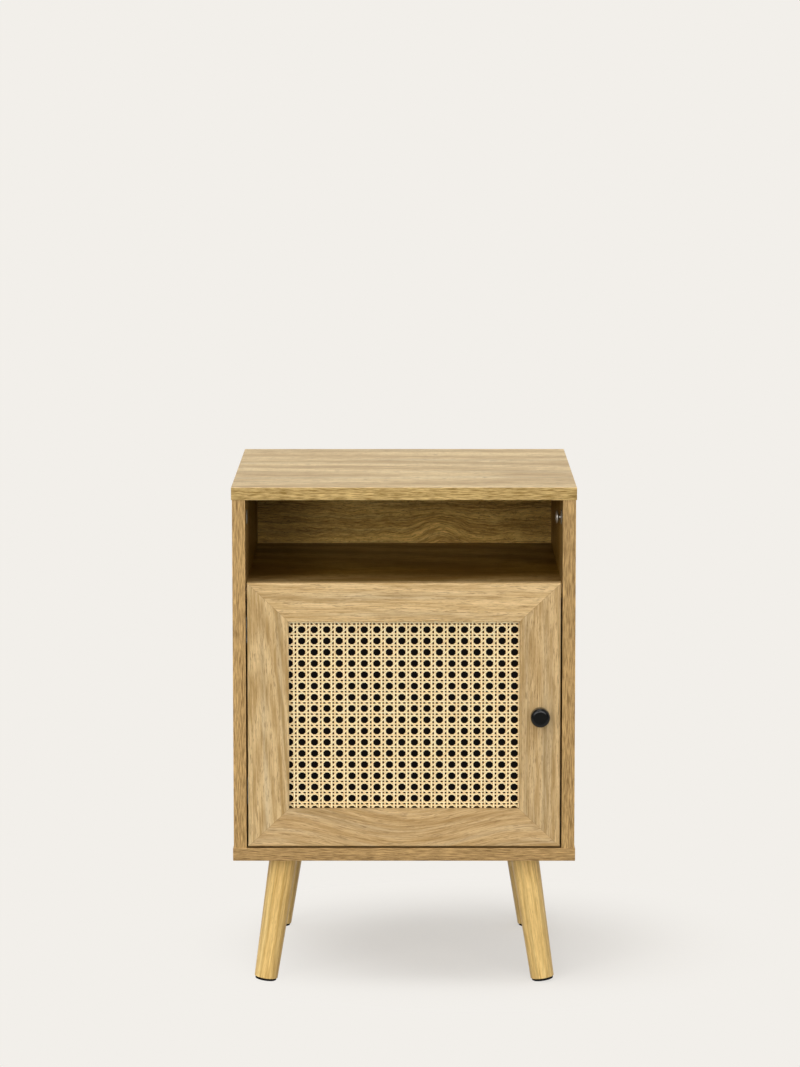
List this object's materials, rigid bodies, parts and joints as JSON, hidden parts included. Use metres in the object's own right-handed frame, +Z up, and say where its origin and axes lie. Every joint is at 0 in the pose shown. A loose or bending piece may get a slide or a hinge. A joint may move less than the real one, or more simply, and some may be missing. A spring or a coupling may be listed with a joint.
{
  "type": "storage side table with door",
  "caption": "Small oak-look cabinet table with an open niche above a hinged cane door with a round knob, on splayed round tapered legs.",
  "frame": {"origin": "on the floor under the middle of the bounding box, knob included", "axes": "+Z up, +X to the right as seen from the front, front and knob towards -Y"},
  "size_m": [0.4, 0.419, 0.596],
  "materials": {
    "oak_foil": "satin",
    "oak_back": "satin",
    "oak_leg": "satin",
    "cane": "satin",
    "dark_board": "matte",
    "pale_wood": "matte",
    "zinc": "satin",
    "black_knob": "satin",
    "black_pad": "matte",
    "catch_plastic": "matte",
    "magnet": "matte"
  },
  "bodies": {
    "carcass": {"top_panel": "oak_foil", "bottom_panel": "oak_foil", "left_side_panel": "oak_foil", "right_side_panel": "oak_foil", "fixed_shelf": "oak_foil", "back_panel": "oak_back", "cam_locks": "zinc", "cam_bolts": "zinc", "cabinet_dowels": "pale_wood", "front_left_leg": "oak_leg", "front_right_leg": "oak_leg", "rear_left_leg": "oak_leg", "rear_right_leg": "oak_leg", "front_left_foot_pad": "black_pad", "front_right_foot_pad": "black_pad", "rear_left_foot_pad": "black_pad", "rear_right_foot_pad": "black_pad", "leg_bolts": "zinc", "leg_insert_nuts": "zinc", "upper_hinge_arm": "zinc", "lower_hinge_arm": "zinc", "hinge_arm_screws": "zinc", "catch_body": "catch_plastic", "catch_magnet": "magnet", "catch_screws": "zinc"},
    "door": {"left_door_stile": "oak_foil", "right_door_stile": "oak_foil", "top_door_rail": "oak_foil", "bottom_door_rail": "oak_foil", "mitre_dowels": "pale_wood", "cane_panel": "cane", "cane_backing": "dark_board", "top_cane_strip": "pale_wood", "bottom_cane_strip": "pale_wood", "left_cane_strip": "pale_wood", "right_cane_strip": "pale_wood", "door_knob": "black_knob", "knob_screw": "zinc", "strike_plate": "zinc", "strike_screw": "zinc", "upper_hinge_pocket": "zinc", "lower_hinge_pocket": "zinc", "hinge_pins": "zinc", "hinge_pocket_screws": "zinc"}
  },
  "joints": [
    {"name": "door_hinge", "type": "hinge", "parent": "carcass", "child": "door", "pos_m": [-0.1722, -0.183, 0.3284], "axis": [0, 0, -1], "range_deg": [0, 110]}
  ]
}
